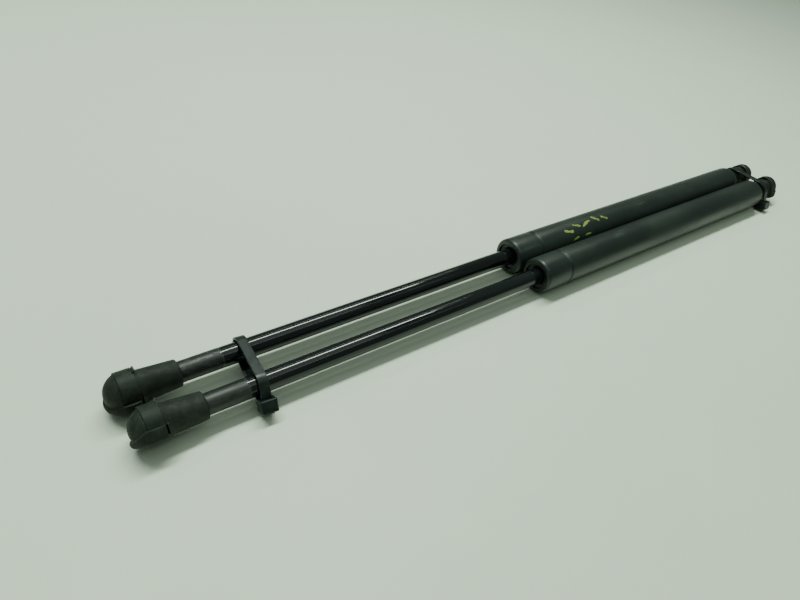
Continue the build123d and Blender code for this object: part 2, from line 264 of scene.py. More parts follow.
def field_skin(field, low, high, step):
    """Closed skin where a distance field is zero.

    Every cell of a regular grid that the surface crosses gets one point, the mean of the places
    where the cell's edges change sign. Each grid edge that changes sign joins the points of its
    four cells into a face. The points then slide along the field's slope until it reads zero.
    """
    ticks = [np.arange(a, b + step, step) for a, b in zip(low, high)]
    value = field(np.stack(np.meshgrid(*ticks, indexing="ij"), -1))
    cells = np.array(value.shape) - 1
    total = np.zeros((*cells, 3))
    count = np.zeros(cells)
    faces = []
    for axis in range(3):
        b, c = (axis + 1) % 3, (axis + 2) % 3
        v = np.moveaxis(value, (axis, b, c), (0, 1, 2))
        cross = (v[:-1] < 0) != (v[1:] < 0)
        i, j, k = np.nonzero(cross)
        inner = (j > 0) & (k > 0) & (j < cells[b]) & (k < cells[c])
        i, j, k = i[inner], j[inner], k[inner]
        start, end = v[i, j, k], v[i + 1, j, k]
        place = np.empty((len(i), 3))
        place[:, axis] = i + start / (start - end)
        place[:, b] = j
        place[:, c] = k
        around = []
        for back_b, back_c in ((0, 0), (1, 0), (1, 1), (0, 1)):
            cell = np.empty((len(i), 3), int)
            cell[:, axis] = i
            cell[:, b] = j - back_b
            cell[:, c] = k - back_c
            flat = np.ravel_multi_index(cell.T, cells)
            np.add.at(total.reshape(-1, 3), flat, place)
            np.add.at(count.reshape(-1), flat, 1)
            around.append(flat)
        quad = np.stack(around, -1)
        quad[start > 0] = quad[start > 0][:, ::-1]
        faces.append(quad)
    faces = np.concatenate(faces)
    used, quads = np.unique(faces, return_inverse=True)
    quads = quads.reshape(faces.shape)
    points = total.reshape(-1, 3)[used] / count.reshape(-1)[used, None]
    points = np.array(low) + points * step
    nudge = np.eye(3) * step * 0.2
    for _ in range(4):
        here = field(points)
        slope = np.stack([field(points + n) - field(points - n) for n in nudge], -1)
        slope /= 2 * step * 0.2
        size = np.maximum((slope ** 2).sum(-1), 0.25)
        points = points - 0.8 * (here / size)[:, None] * slope
    return outward(points, quads, np.zeros((0, 3), int))


# ======================= pieces from surfaces =======================

def put(name, skin, body, stands_for, finish, crease=None):
    """Mesh object from a skin in millimetres, riding on a body with its slot and finish."""
    points, quads, tris = skin
    mesh = bpy.data.meshes.new(name)
    mesh.vertices.add(len(points))
    mesh.vertices.foreach_set("co", np.ascontiguousarray(points * MM, np.float32).ravel())
    mesh.loops.add(quads.size + tris.size)
    loops = np.concatenate([quads.ravel(), tris.ravel()]).astype(np.int32)
    mesh.loops.foreach_set("vertex_index", loops)
    starts = np.concatenate([np.arange(len(quads)) * 4, quads.size + np.arange(len(tris)) * 3])
    mesh.polygons.add(len(starts))
    mesh.polygons.foreach_set("loop_start", starts.astype(np.int32))
    mesh.update(calc_edges=True)
    if mesh.validate():
        raise RuntimeError(f"{name} has faulty faces")
    mesh.shade_smooth()
    if crease is not None:
        mesh.set_sharp_from_angle(angle=math.radians(crease))
    mesh.materials.append(finish)
    piece = bpy.data.objects.new(name, mesh)
    bpy.context.scene.collection.objects.link(piece)
    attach(piece, body)
    if stands_for:
        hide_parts(stands_for)
    return piece


def note_length(piece, name, start_x):
    """Store each point's distance in metres from start_x (millimetres) along the strut."""
    mesh = piece.data
    place = np.empty(len(mesh.vertices) * 3, np.float32)
    mesh.vertices.foreach_get("co", place)
    along = mesh.attributes.new(name, "FLOAT", "POINT")
    along.data.foreach_set("value", place[::3] - np.float32(start_x * MM))


def tube_skin(side, segments):
    """Drawn tube with rolled ends and the bead: its wall's outline turned about the axis."""
    inner_roll = ROLL_RADIUS - TUBE_WALL
    bead = (BEAD_AT - BEAD_HALF, BEAD_AT - BEAD_FLAT_HALF, BEAD_AT + BEAD_FLAT_HALF, BEAD_AT + BEAD_HALF)
    outside = [
        (0, ROLL_LIP_R, 0.3),
        (0, TUBE_R, ROLL_RADIUS),
        (bead[0], TUBE_R, 0.4),
        (bead[1], TUBE_R - BEAD_DEPTH, 0.3),
        (bead[2], TUBE_R - BEAD_DEPTH, 0.3),
        (bead[3], TUBE_R, 0.4),
        (TUBE_LENGTH, TUBE_R, SHOULDER_RADIUS),
        (TUBE_LENGTH, TAIL_LIP_R, 0.2),
    ]
    inside = [
        (TUBE_LENGTH - TUBE_WALL, TAIL_LIP_R, 0),
        (TUBE_LENGTH - TUBE_WALL, BORE_R, SHOULDER_RADIUS - TUBE_WALL),
        (bead[3], BORE_R, 0),
        (bead[2], BORE_R - BEAD_DEPTH, 0),
        (bead[1], BORE_R - BEAD_DEPTH, 0),
        (bead[0], BORE_R, 0),
        (TUBE_WALL, BORE_R, inner_roll),
        (TUBE_WALL, ROLL_LIP_R, 0),
    ]
    return lathe(outside + inside, AXIS[side], segments, True)


def washer_skin(side, segments):
    """Dished end washer with a raised wiping lip: its outline turned about the axis."""
    back = TUBE_WALL + WASHER_THICKNESS
    outline = [
        (TUBE_WALL, WASHER_HOLE_R + WASHER_DISH_WIDTH, 0.3),
        (TUBE_WALL, BORE_R, ROLL_RADIUS - TUBE_WALL),
        (back, BORE_R, 0),
        (back, WASHER_HOLE_R, 0),
        (TUBE_WALL + WASHER_DISH_DEPTH, WASHER_HOLE_R, 0.15),
    ]
    return lathe(outline, AXIS[side], segments, True)


def rod_skin(side, segments):
    """Ground rod with its stud, spigot and rivet head: its outline turned about the axis."""
    stud_end = -ROD_OUT - STUD_LENGTH
    outline = [
        (stud_end, 0, 0),
        (stud_end, STUD_R - STUD_CHAMFER, 0),
        (stud_end + STUD_CHAMFER, STUD_R, 0),
        (-ROD_OUT, STUD_R, 0),
        (-ROD_OUT, ROD_R, 0.4),
        (ROD_SHOULDER, ROD_R, 0.3),
        (ROD_SHOULDER, SPIGOT_R, 0),
        (SPIGOT_END, SPIGOT_R, 0),
        (SPIGOT_END, RIVET_R, 0),
        (RIVET_END, RIVET_R, 0.8),
        (RIVET_END, 0, 0),
    ]
    return lathe(outline, AXIS[side], segments, False)


def fitting_place(points, name):
    """Points of a socket or clip, from its own axes to its place on the strut.

    Its own axes have the ball at the origin, the crown up and the shank towards +X. The crown
    leans about the strut's axis, and a tube-end fitting is first turned half round.
    """
    side, end = name.split("_")
    lean = math.radians(CROWN[name])
    sin, cos = math.sin(lean), math.cos(lean)
    turn = np.array([[1, 0, 0], [0, cos, sin], [0, -sin, cos]])
    x = -ROD_OUT - SHANK_FROM_BALL
    if end == "tube":
        turn = turn @ np.diag([-1, -1, 1])
        x = TUBE_LENGTH + SHANK_FROM_BALL
    return points @ turn.T + AXIS[side] + (x, 0, 0)


def socket_field(p):
    """Distance field of the moulded ball socket.

    Dome, flared shank and collar are joined with fillets. The collar's top falls towards the tip.
    The ball's cavity, the stud's hole, the band's recess, its slots and its windows are taken
    away. The recess is open above the collar and widens downwards on the shank's side.
    """
    x, y, z = p[..., 0], p[..., 1], p[..., 2]
    dome = np.linalg.norm(p, axis=-1) - DOME_R
    flare = np.clip((x - SHANK_ROOT_AT) / (SHANK_FROM_BALL - SHANK_ROOT_AT), 0, 1)
    wide = SHANK_ROOT_R + (SHANK_END_R - SHANK_ROOT_R) * flare
    tall = SHANK_ROOT_TALL + (SHANK_END_R - SHANK_ROOT_TALL) * flare
    radial = np.hypot(y, z)
    share = np.maximum(np.hypot(y / wide, z / tall), 1e-4)
    edge = np.where(share > 0.01, radial / share, wide)
    shank = blend_max(radial - edge, x - SHANK_FROM_BALL, 0.9)
    shank = np.maximum(shank, -x)
    about_z = np.hypot(x, y)
    out_by = np.maximum(about_z - COLLAR_R + COLLAR_ROUND, 0)
    down_by = np.maximum(MOUTH_AT - z + COLLAR_ROUND, 0)
    inside = np.minimum(np.maximum(about_z - COLLAR_R, MOUTH_AT - z) + COLLAR_ROUND, 0)
    collar = np.hypot(out_by, down_by) + inside - COLLAR_ROUND
    collar = blend_max(collar, z - COLLAR_TOP, 0.5)
    past = x - COLLAR_SLOPE_FROM
    collar = blend_max(collar, (z - COLLAR_TOP) * math.cos(COLLAR_SLOPE) - past * math.sin(COLLAR_SLOPE), 0.4)
    body = blend_min(blend_min(dome, shank, 1.3), collar, 0.35)
    body = blend_max(body, MOUTH_AT - z, 0.3)
    ball = np.minimum(np.linalg.norm(p, axis=-1) - CAVITY_R, np.maximum(about_z - CAVITY_R, z))
    mouth = (about_z - CAVITY_R - MOUTH_BEVEL + (z - MOUTH_AT)) / math.sqrt(2)
    mouth = np.maximum(mouth, z - MOUTH_AT - 2 * MOUTH_BEVEL)
    body = blend_max(body, -np.minimum(ball, mouth), 0.25)
    hole = np.maximum(radial - STUD_R, SHANK_FROM_BALL - STUD_HOLE_DEPTH - x)
    body = blend_max(body, -hole, 0.15)
    arch = np.where(z > CLIP_ARCH_AT, np.hypot(y, z - CLIP_ARCH_AT), np.abs(y))
    foot = CLIP_TAB_TOP - CLIP_THICKNESS - CLIP_PLAY
    outer = CLIP_INNER_R + CLIP_THICKNESS + CLIP_PLAY
    recess = np.maximum(CLIP_INNER_R - CLIP_PLAY - arch, foot - z)
    recess = np.maximum(recess, np.minimum(arch - outer, COLLAR_TOP - z))
    window_top = CLIP_TAB_TOP + CLIP_TRAVEL + CLIP_PLAY
    window = np.abs(z - (foot + window_top) / 2) - (window_top - foot) / 2
    window = np.maximum(window, np.abs(np.abs(y) - (outer + CLIP_GAP / 2) / 2) - (outer - CLIP_GAP / 2) / 2)
    wedge = CLIP_SIDE_GAP * np.clip(1 - z / CLIP_SIDE_GAP_TOP, 0, 1)
    reach = CLIP_WIDTH / 2 + CLIP_PLAY
    sides = np.maximum(CLIP_SHIFT - reach - x, x - CLIP_SHIFT - reach - wedge)
    room = np.maximum(np.minimum(recess, window), sides)
    return blend_max(body, -room, 0.25)


def clip_skin(step):
    """Spring band over the dome, its pry lip and its turned-in ends.

    A flat rounded section is carried along an upside-down U with bent ends. The pry lip is a
    narrower section carried round a bend at the shank's side, and leans towards the shank.
    """
    half = CLIP_THICKNESS / 2
    middle_r = CLIP_INNER_R + half
    tab_z = CLIP_TAB_TOP - half
    tab = rounded([
        (CLIP_GAP / 2, tab_z, 0),
        (middle_r, tab_z, CLIP_BEND),
        (middle_r, CLIP_ARCH_AT, 0),
    ], False)
    angle = np.linspace(0, math.pi, int(math.pi * middle_r / step))[1:-1]
    arch = np.stack([middle_r * np.cos(angle), CLIP_ARCH_AT + middle_r * np.sin(angle)], -1)
    line = np.concatenate([tab, arch, tab[::-1] * (-1, 1)])
    path = np.insert(line, 0, 0, axis=1)
    along = np.gradient(path, axis=0)
    along /= np.linalg.norm(along, axis=1, keepdims=True)
    out = np.cross(along, (-1, 0, 0))
    corner = CLIP_EDGE
    flat = CLIP_WIDTH / 2
    section = rounded([
        (-flat, -half, corner), (flat, -half, corner), (flat, half, corner), (-flat, half, corner),
    ], True)
    band = grid_skin(swept(section, path, np.array([1.0, 0, 0]), out), False)

    top = CLIP_ARCH_AT + middle_r - CLIP_LIP_FLUSH
    bend = flat - half
    tip_x = bend + CLIP_LIP_LENGTH * math.sin(CLIP_LIP_LEAN)
    tip_z = top + CLIP_LIP_LENGTH * math.cos(CLIP_LIP_LEAN)
    rise = rounded([(CLIP_LIP_ROOT, top, 0), (bend, top, CLIP_LIP_BEND), (tip_x, tip_z, 0)], False)
    lip_path = np.stack([rise[:, 0], np.zeros(len(rise)), rise[:, 1]], -1)
    lip_along = np.gradient(lip_path, axis=0)
    lip_along /= np.linalg.norm(lip_along, axis=1, keepdims=True)
    lip_out = np.cross(lip_along, (0, 1, 0))
    wide = CLIP_LIP_WIDTH / 2
    thin = half - CLIP_LIP_THINNER
    strip = rounded([(x, y, CLIP_LIP_EDGE) for x, y in (
        (-wide, -thin), (wide, -thin), (wide, thin), (-wide, thin))], True)
    lip = grid_skin(swept(strip, lip_path, np.array([0, 1.0, 0]), lip_out), False)
    points, quads, tris = together(band, lip)
    return points + (CLIP_SHIFT, 0, 0), quads, tris


def belt(circles, step):
    """Tight loop round circles in the YZ plane, listed anticlockwise: points and outward directions.

    Between circles of radius r1 and r2 at distance d, the belt leaves square to the direction
    that lies asin((r1 - r2) / d) off the perpendicular; on each circle it follows the arc.
    """
    leaving = []
    for (c1, r1), (c2, r2) in zip(circles, circles[1:] + circles[:1]):
        gap = c2 - c1
        distance = np.linalg.norm(gap)
        off = math.asin((r1 - r2) / distance)
        leaving.append(math.atan2(gap[1], gap[0]) - math.pi / 2 + off)
    points, angles = [], []
    for n, (centre, radius) in enumerate(circles):
        start = leaving[n - 1]
        end = start + (leaving[n] - start) % (2 * math.pi)
        arc = np.linspace(start, end, max(3, int((end - start) * radius / step)))
        rim = centre + radius * np.stack([np.cos(arc), np.sin(arc)], -1)
        c2, r2 = circles[(n + 1) % len(circles)]
        far = c2 + r2 * np.array([math.cos(arc[-1]), math.sin(arc[-1])])
        count = max(2, int(np.linalg.norm(far - rim[-1]) / step))
        t = np.linspace(0, 1, count + 1)[1:-1, None]
        points.append(np.concatenate([rim, rim[-1] + t * (far - rim[-1])]))
        angles.append(np.concatenate([arc, np.full(len(t), arc[-1])]))
    angles = np.concatenate(angles)
    return np.concatenate(points), np.stack([np.cos(angles), np.sin(angles)], -1)


def strap_section(edge):
    """Flat strap outline with softly rounded edges and extra points where the teeth run."""
    w, h = STRAP_WIDTH / 2, STRAP_THICKNESS / 2
    return rounded([
        (-w, -h, edge), (-1.75, -h, 0), (-1.65, -h, 0), (1.65, -h, 0), (1.75, -h, 0), (w, -h, edge),
        (w, h, edge), (-w, h, edge),
    ], True, 15)


def tie_skin(size, pitch, depth, edge, step):
    """Cable tie: toothed strap loop, cut tail and locking head.

    The strap's section is carried round the belt of both shafts and the head's root. Inside the
    strap a saw-tooth of the given pitch and depth is cut into the middle of the section.
    """
    lean = math.radians(size["lean"])
    along = np.array([-math.sin(lean), -math.cos(lean)])
    out = np.array([-math.cos(lean), math.sin(lean)])
    right = np.array([-REACH, 0.0])
    left = np.array([REACH, 0.0])
    middle = STRAP_THICKNESS / 2
    root = right + out * (size["right"] - TIE_ROOT_R) + along * (size["drop"] + HEAD_HEIGHT / 2)
    circles = [(left, size["left"] + middle), (right, size["right"] + middle), (root, TIE_ROOT_R + middle)]
    line, away = belt(circles, step)
    path = np.insert(line, 0, 0, axis=1)
    outs = np.insert(away, 0, 0, axis=1)
    section = strap_section(edge)
    gone = np.linalg.norm(np.diff(line, axis=0, append=line[:1]), axis=1).cumsum()
    saw = (gone / pitch) % 1.0
    from_head = (line - root) @ along
    bare = np.clip((np.abs(from_head) - HEAD_HEIGHT / 2 - 0.8) / 0.5, 0, 1)
    tooth = (np.abs(section[:, 0]) < 1.7) & (section[:, 1] < 0)
    cut = np.broadcast_to(section, (len(path), *section.shape)).copy()
    cut[..., 1] += (depth * saw * bare)[:, None] * tooth
    loop = grid_skin(swept(cut, path, np.array([1.0, 0, 0]), outs), True)

    strap_out = size["right"] + middle
    stub_from = size["drop"] + HEAD_HEIGHT - 1.0
    reach = np.linspace(stub_from, size["drop"] + HEAD_HEIGHT + TAIL_STUB, 24)
    stub_line = right + out * strap_out + reach[:, None] * along
    stub_path = np.insert(stub_line, 0, 0, axis=1)
    stub_out = np.broadcast_to(np.insert(out, 0, 0), stub_path.shape)
    stub_cut = np.broadcast_to(section, (len(reach), *section.shape)).copy()
    stub_cut[..., 1] += (depth * ((reach / pitch) % 1.0))[:, None] * tooth
    shrink = np.where(reach > reach[-1] - 0.12, 0.95, 1.0)[:, None, None]
    stub = grid_skin(swept(stub_cut * shrink, stub_path, np.array([1.0, 0, 0]), stub_out), False)

    face = size["right"] + STRAP_THICKNESS + HEAD_OUTSIDE_STRAP
    head_middle = np.array([0, face - HEAD_DEPTH / 2, size["drop"] + HEAD_HEIGHT / 2])

    def head_field(p):
        """Rounded box with the strap's slot and pawl window."""
        block = box_field(p, head_middle, (HEAD_WIDTH / 2, HEAD_DEPTH / 2, HEAD_HEIGHT / 2), 0.6)
        slot = box_field(p, (0, strap_out, 0), (STRAP_WIDTH / 2 + 0.25, middle + 0.3, 99), 0.1)
        far_end = size["drop"] + HEAD_HEIGHT
        pawl = box_field(p, (0, strap_out + 1.1, far_end), (1.5, 0.7, 2.2), 0.15)
        return blend_max(blend_max(block, -slot, 0.2), -pawl, 0.2)

    margin = 0.4
    low = head_middle - (HEAD_WIDTH / 2 + margin, HEAD_DEPTH / 2 + margin, HEAD_HEIGHT / 2 + margin)
    high = head_middle + (HEAD_WIDTH / 2 + margin, HEAD_DEPTH / 2 + margin, HEAD_HEIGHT / 2 + margin)
    points, quads, tris = field_skin(head_field, low, high, 0.16)
    flat = right + points[:, 1:2] * out + points[:, 2:3] * along
    head = outward(np.column_stack([points[:, 0], flat]), quads, tris)

    points, quads, tris = together(loop, stub, head)
    skew = math.radians(-size["skew"])
    turn = np.array([[math.cos(skew), -math.sin(skew), 0], [math.sin(skew), math.cos(skew), 0], [0, 0, 1]])
    return points @ turn.T + BETWEEN + (size["at"], 0, 0), quads, tris


def dab_skin(start, end, width, thick, seed):
    """Dab of dried marker paint lying on the left tube.

    The film runs from start to end, each (distance from the tube's face, degrees towards the
    front from the top). Its edge wanders by a sum of sines, and its height falls to nothing at
    the edge as the square root of one minus the squared distance from its middle.
    """
    rows, columns = 40, 13
    u = np.linspace(0, 1, rows)[:, None]
    v = np.linspace(-1, 1, columns)[None]
    start, end = np.array(start, float), np.array(end, float)
    scale = np.array([1, math.radians(TUBE_R)])
    way = (end - start) * scale
    way_across = np.array([-way[1], way[0]]) / np.linalg.norm(way)
    taper = np.sqrt(np.clip(1 - np.abs(2 * u - 1) ** 6, 0, 1))
    wander = 1 + 0.22 * np.sin(9 * u + seed) + 0.13 * np.sin(23 * u + 2.3 * seed)
    bow = 0.25 * width * np.sin(math.pi * u + seed)
    shift = (v * taper * wander * width / 2 + bow)[..., None] * way_across
    place = start * scale + u[..., None] * way + shift
    height = thick * np.sqrt(np.clip(1 - v ** 2, 0, 1)) * taper
    upper = surface_point(place, TUBE_R + height)
    lower = surface_point(place, TUBE_R - 0.02 + 0 * height)
    return grid_skin(np.concatenate([upper, lower[:, ::-1]], 1), False)


def surface_point(place, radius):
    """Point of the left tube at a distance along it and an arc length from its top."""
    angle = place[..., 1] / TUBE_R
    y = -radius * np.sin(angle)
    z = radius * np.cos(angle)
    return np.stack([place[..., 0], y, z], -1) + AXIS["left"]


# ======================= finishes =======================

class Finish:
    """One procedural material: a Principled shader fed by patterns on Object coordinates."""

    def __init__(self, name, colour, roughness, metallic=0.0, specular=0.5):
        self.material = bpy.data.materials.new(f"{name}_finish")
        self.material.use_nodes = True
        self.tree = self.material.node_tree
        self.shader = self.tree.nodes["Principled BSDF"]
        self.shader.inputs["Base Color"].default_value = (*colour, 1)
        self.shader.inputs["Roughness"].default_value = roughness
        self.shader.inputs["Metallic"].default_value = metallic
        self.shader.inputs["Specular IOR Level"].default_value = specular
        self.place = self.node("ShaderNodeTexCoord").outputs["Object"]

    def node(self, kind, **values):
        made = self.tree.nodes.new(kind)
        for key, value in values.items():
            setattr(made, key, value)
        return made

    def feed(self, socket, value):
        if isinstance(value, bpy.types.NodeSocket):
            self.tree.links.new(value, socket)
        else:
            socket.default_value = value

    def noise(self, scale, detail=3.0, rough=0.55, stretch=(1, 1, 1), shift=(0, 0, 0), distort=0.0):
        """Fractal noise; scale is in patterns per metre, before the stretch."""
        mapping = self.node("ShaderNodeMapping")
        self.feed(mapping.inputs["Vector"], self.place)
        mapping.inputs["Scale"].default_value = stretch
        mapping.inputs["Location"].default_value = shift
        noise = self.node("ShaderNodeTexNoise")
        self.feed(noise.inputs["Vector"], mapping.outputs[0])
        noise.inputs["Scale"].default_value = scale
        noise.inputs["Detail"].default_value = detail
        noise.inputs["Roughness"].default_value = rough
        noise.inputs["Distortion"].default_value = distort
        return noise.outputs[0]

    def reach(self, value, low, high, to_low=0.0, to_high=1.0):
        """Value between low and high spread over to_low and to_high, and held beyond them."""
        spread = self.node("ShaderNodeMapRange")
        spread.clamp = True
        spread.interpolation_type = "SMOOTHSTEP"
        for socket, number in zip(spread.inputs, (value, low, high, to_low, to_high)):
            self.feed(socket, number)
        return spread.outputs[0]

    def sum(self, operation, a, b):
        maths = self.node("ShaderNodeMath", operation=operation)
        self.feed(maths.inputs[0], a)
        self.feed(maths.inputs[1], b)
        return maths.outputs[0]

    def mix(self, share, a, b):
        blend = self.node("ShaderNodeMix", data_type="RGBA")
        self.feed(blend.inputs[0], share)
        self.feed(blend.inputs[6], a if isinstance(a, bpy.types.NodeSocket) else (*a, 1))
        self.feed(blend.inputs[7], b if isinstance(b, bpy.types.NodeSocket) else (*b, 1))
        return blend.outputs[2]

    def attribute(self, name):
        return self.node("ShaderNodeAttribute", attribute_name=name).outputs["Fac"]

    def worn_edge(self, low, high):
        """Share that grows on the mesh's convex edges: wear, and on the clips also a painted highlight."""
        return self.reach(self.node("ShaderNodeNewGeometry").outputs["Pointiness"], low, high)

    def colour(self, value):
        self.feed(self.shader.inputs["Base Color"], value)

    def roughness(self, value):
        self.feed(self.shader.inputs["Roughness"], value)

    def bump(self, height, distance):
        """Relief whose full height is `distance` metres."""
        relief = self.node("ShaderNodeBump")
        relief.inputs["Distance"].default_value = distance
        self.feed(relief.inputs["Height"], height)
        self.feed(self.shader.inputs["Normal"], relief.outputs["Normal"])


def tube_paint(look):
    """Semi-matt paint: fine orange peel, faint handling marks along the tube, a little dust."""
    paint = Finish("tube_paint", look.paint, look.paint_gloss)
    peel = paint.noise(900, 2)
    grain = paint.noise(5200, 2)
    rubbed = paint.reach(paint.noise(240, 5, 0.6, (0.12, 1, 1), (3, 1, 2)), 0.58, 0.72)
    cloud = paint.noise(38, 4, 0.6, (0.5, 1, 1), (7, 2, 5))
    specks = paint.reach(paint.noise(1500, 1, 0.5, (1, 1, 1), (1, 8, 3)), 0.70, 0.76)
    dust = tuple(3.2 * c + 0.012 for c in look.paint)
    soft = tuple(1.5 * c for c in look.paint)
    base = paint.mix(paint.reach(cloud, 0.35, 0.7), look.paint, soft)
    base = paint.mix(paint.sum("MULTIPLY", rubbed, 0.35), base, dust)
    paint.colour(paint.mix(paint.sum("MULTIPLY", specks, 0.6), base, dust))
    rough = paint.reach(cloud, 0.3, 0.75, look.paint_gloss - 0.05, look.paint_gloss + 0.09)
    paint.roughness(paint.sum("ADD", rough, paint.sum("MULTIPLY", rubbed, 0.08)))
    paint.bump(paint.sum("ADD", peel, paint.sum("MULTIPLY", grain, 0.25)), 0.000012)
    return paint.material


def rod_finish(look):
    """Gloss black rod; the length next to the end fitting is dull and scuffed."""
    rod = Finish("rod_black", look.rod, look.rod_gloss)
    along = rod.attribute("from_fitting")
    gloss = rod.reach(along, 0.0188, 0.0194)
    line = rod.sum("MULTIPLY", gloss, rod.reach(along, 0.0192, 0.0204, 1, 0))
    fine = rod.noise(260, 4, 0.6, (0.05, 1, 1))
    scuffs = rod.reach(rod.noise(520, 5, 0.65, (0.35, 1, 1), (2, 5, 1)), 0.45, 0.68)
    spots = rod.reach(rod.noise(700, 2, 0.5, (0.6, 1, 1), (4, 4, 9)), 0.66, 0.72)
    worn = tuple(c * 2.1 + 0.002 for c in look.rod_worn)
    dull = rod.mix(scuffs, look.rod_worn, worn)
    dull = rod.mix(rod.sum("MULTIPLY", spots, 0.5), dull, tuple(c * 4 + 0.03 for c in look.rod_worn))
    shiny = rod.mix(rod.reach(fine, 0.4, 0.75), look.rod, tuple(c * 2.0 for c in look.rod))
    base = rod.mix(gloss, dull, shiny)
    rod.colour(rod.mix(rod.sum("MULTIPLY", line, 0.5), base, (0.05, 0.07, 0.06)))
    bright = rod.reach(fine, 0.35, 0.8, look.rod_gloss, look.rod_gloss + 0.09)
    rough = rod.node("ShaderNodeMix", data_type="FLOAT")
    rod.feed(rough.inputs[0], gloss)
    rod.feed(rough.inputs[2], rod.reach(scuffs, 0, 1, 0.42, 0.60))
    rod.feed(rough.inputs[3], bright)
    rod.roughness(rough.outputs[0])
    grain = rod.sum("MULTIPLY", rod.noise(3800, 2), rod.sum("SUBTRACT", 1.06, gloss))
    rod.bump(rod.sum("ADD", grain, rod.sum("MULTIPLY", rod.reach(along, 0.0184, 0.0192), 0.9)), 0.00002)
    return rod.material


def socket_plastic(look):
    """Aged glass-filled plastic: grey dust in its hollows, rubbed edges and a fine grain."""
    plastic = Finish("socket_plastic", look.plastic, 0.62, 0.0, 0.22)
    cloud = plastic.noise(130, 5, 0.62, (1, 1, 1), (1, 2, 3))
    patch = plastic.noise(420, 4, 0.6, (1, 1, 1), (5, 1, 7), 0.4)
    grain = plastic.noise(3600, 3, 0.6)
    scratch = plastic.reach(plastic.noise(900, 3, 0.6, (0.18, 1, 1), (9, 9, 1), 0.6), 0.63, 0.72)
    dusty = plastic.mix(plastic.reach(cloud, 0.32, 0.72), look.plastic, look.dust)
    dusty = plastic.mix(plastic.reach(patch, 0.52, 0.74, 0, 0.55), dusty, look.dust)
    dusty = plastic.mix(plastic.sum("MULTIPLY", scratch, 0.30), dusty, tuple(1.9 * c for c in look.dust))
    rubbed = plastic.sum("MULTIPLY", plastic.worn_edge(0.52, 0.60), 0.55)
    plastic.colour(plastic.mix(rubbed, dusty, tuple(1.7 * c for c in look.dust)))
    plastic.roughness(plastic.reach(patch, 0.3, 0.7, 0.54, 0.72))
    plastic.bump(plastic.sum("ADD", grain, plastic.sum("MULTIPLY", cloud, 1.2)), 0.00003)
    return plastic.material


def clip_finish(look):
    """Blackened spring steel band with dust, and rubbed edges lightened partly as a painted highlight."""
    steel = Finish("clip_steel", look.clip, 0.55, 0.0, 0.18)
    cloud = steel.noise(260, 5, 0.62, (1, 1, 1), (8, 2, 1))
    grain = steel.noise(2600, 3, 0.6)
    brushed = steel.reach(steel.noise(800, 4, 0.6, (0.1, 1, 1), (2, 7, 7)), 0.5, 0.75)
    base = steel.mix(steel.reach(cloud, 0.35, 0.7), look.clip, look.dust)
    base = steel.mix(steel.sum("MULTIPLY", brushed, 0.35), base, tuple(1.6 * c for c in look.dust))
    # convex edges lightened: rubbed wear together with a painted highlight along the band's edges
    edge = steel.worn_edge(0.53, 0.62)
    steel.colour(steel.mix(steel.sum("MULTIPLY", edge, 0.6), base, (0.14, 0.15, 0.14)))
    steel.roughness(steel.reach(cloud, 0.3, 0.7, 0.48, 0.64))
    steel.bump(grain, 0.00002)
    return steel.material


def tie_nylon(look):
    """Black nylon with a soft sheen, faint flow marks and a few scuffs."""
    nylon = Finish("tie_nylon", look.nylon, look.nylon_gloss, 0.0, 0.35)
    flow = nylon.noise(190, 3, 0.5, (1, 1, 1), (6, 6, 2))
    scuffs = nylon.reach(nylon.noise(1100, 4, 0.65, (1, 0.3, 0.3), (3, 3, 3)), 0.6, 0.74)
    base = nylon.mix(nylon.reach(flow, 0.35, 0.7), look.nylon, tuple(1.9 * c for c in look.nylon))
    edge = nylon.sum("MULTIPLY", nylon.worn_edge(0.54, 0.66), 0.35)
    base = nylon.mix(nylon.sum("MULTIPLY", scuffs, 0.3), base, (0.06, 0.065, 0.06))
    nylon.colour(nylon.mix(edge, base, (0.07, 0.08, 0.07)))
    nylon.roughness(nylon.reach(flow, 0.3, 0.7, look.nylon_gloss - 0.05, look.nylon_gloss + 0.1))
    nylon.bump(nylon.sum("ADD", flow, nylon.sum("MULTIPLY", nylon.noise(4200, 2), 0.12)), 0.00003)
    return nylon.material


def washer_plastic(look):
    """Black moulded washer with a turned grain and dust in its dish."""
    washer = Finish("end_washer_plastic", (0.012, 0.014, 0.013), 0.5)
    cloud = washer.noise(420, 4, 0.6)
    washer.colour(washer.mix(washer.reach(cloud, 0.45, 0.75), (0.010, 0.012, 0.011), look.dust))
    washer.roughness(washer.reach(cloud, 0.3, 0.7, 0.4, 0.62))
    washer.bump(washer.noise(3000, 2), 0.00002)
    return washer.material


def marker_paint(look):
    """Dried marker paint: chalky, thin in places."""
    marker = Finish("marker_paint", look.marker, 0.7)
    thin = marker.reach(marker.noise(1300, 4, 0.65, (0.5, 1, 1)), 0.42, 0.66)
    marker.colour(marker.mix(thin, look.marker, tuple(0.35 * c for c in look.marker)))
    marker.roughness(marker.reach(thin, 0, 1, 0.75, 0.5))
    marker.bump(marker.noise(2600, 3), 0.00002)
    return marker.material


def machined(name, colour, roughness, metallic, turned_grain):
    """Machined or moulded inner part: fine grain, slight stains, roughness that varies."""
    part = Finish(name, colour, roughness, metallic)
    stain = part.noise(300, 4, 0.6)
    grain = part.noise(turned_grain, 2, 0.5, (4, 1, 1))
    part.colour(part.mix(part.reach(stain, 0.4, 0.75), colour, tuple(0.6 * c for c in colour)))
    part.roughness(part.reach(grain, 0.3, 0.7, roughness - 0.08, roughness + 0.12))
    part.bump(grain, 0.00001)
    return part.material


def floor_finish(look):
    """Plain pale table top with barely visible clouding."""
    top = Finish("table_top", look.floor, 0.62, 0.0, 0.3)
    cloud = top.noise(3.5, 4, 0.6)
    darker = tuple(0.95 * c for c in look.floor)
    top.colour(top.mix(top.reach(cloud, 0.3, 0.7), look.floor, darker))
    top.roughness(top.reach(cloud, 0.3, 0.7, 0.55, 0.7))
    top.bump(top.noise(420, 3), 0.00002)
    return top.material


# ======================= settings =======================

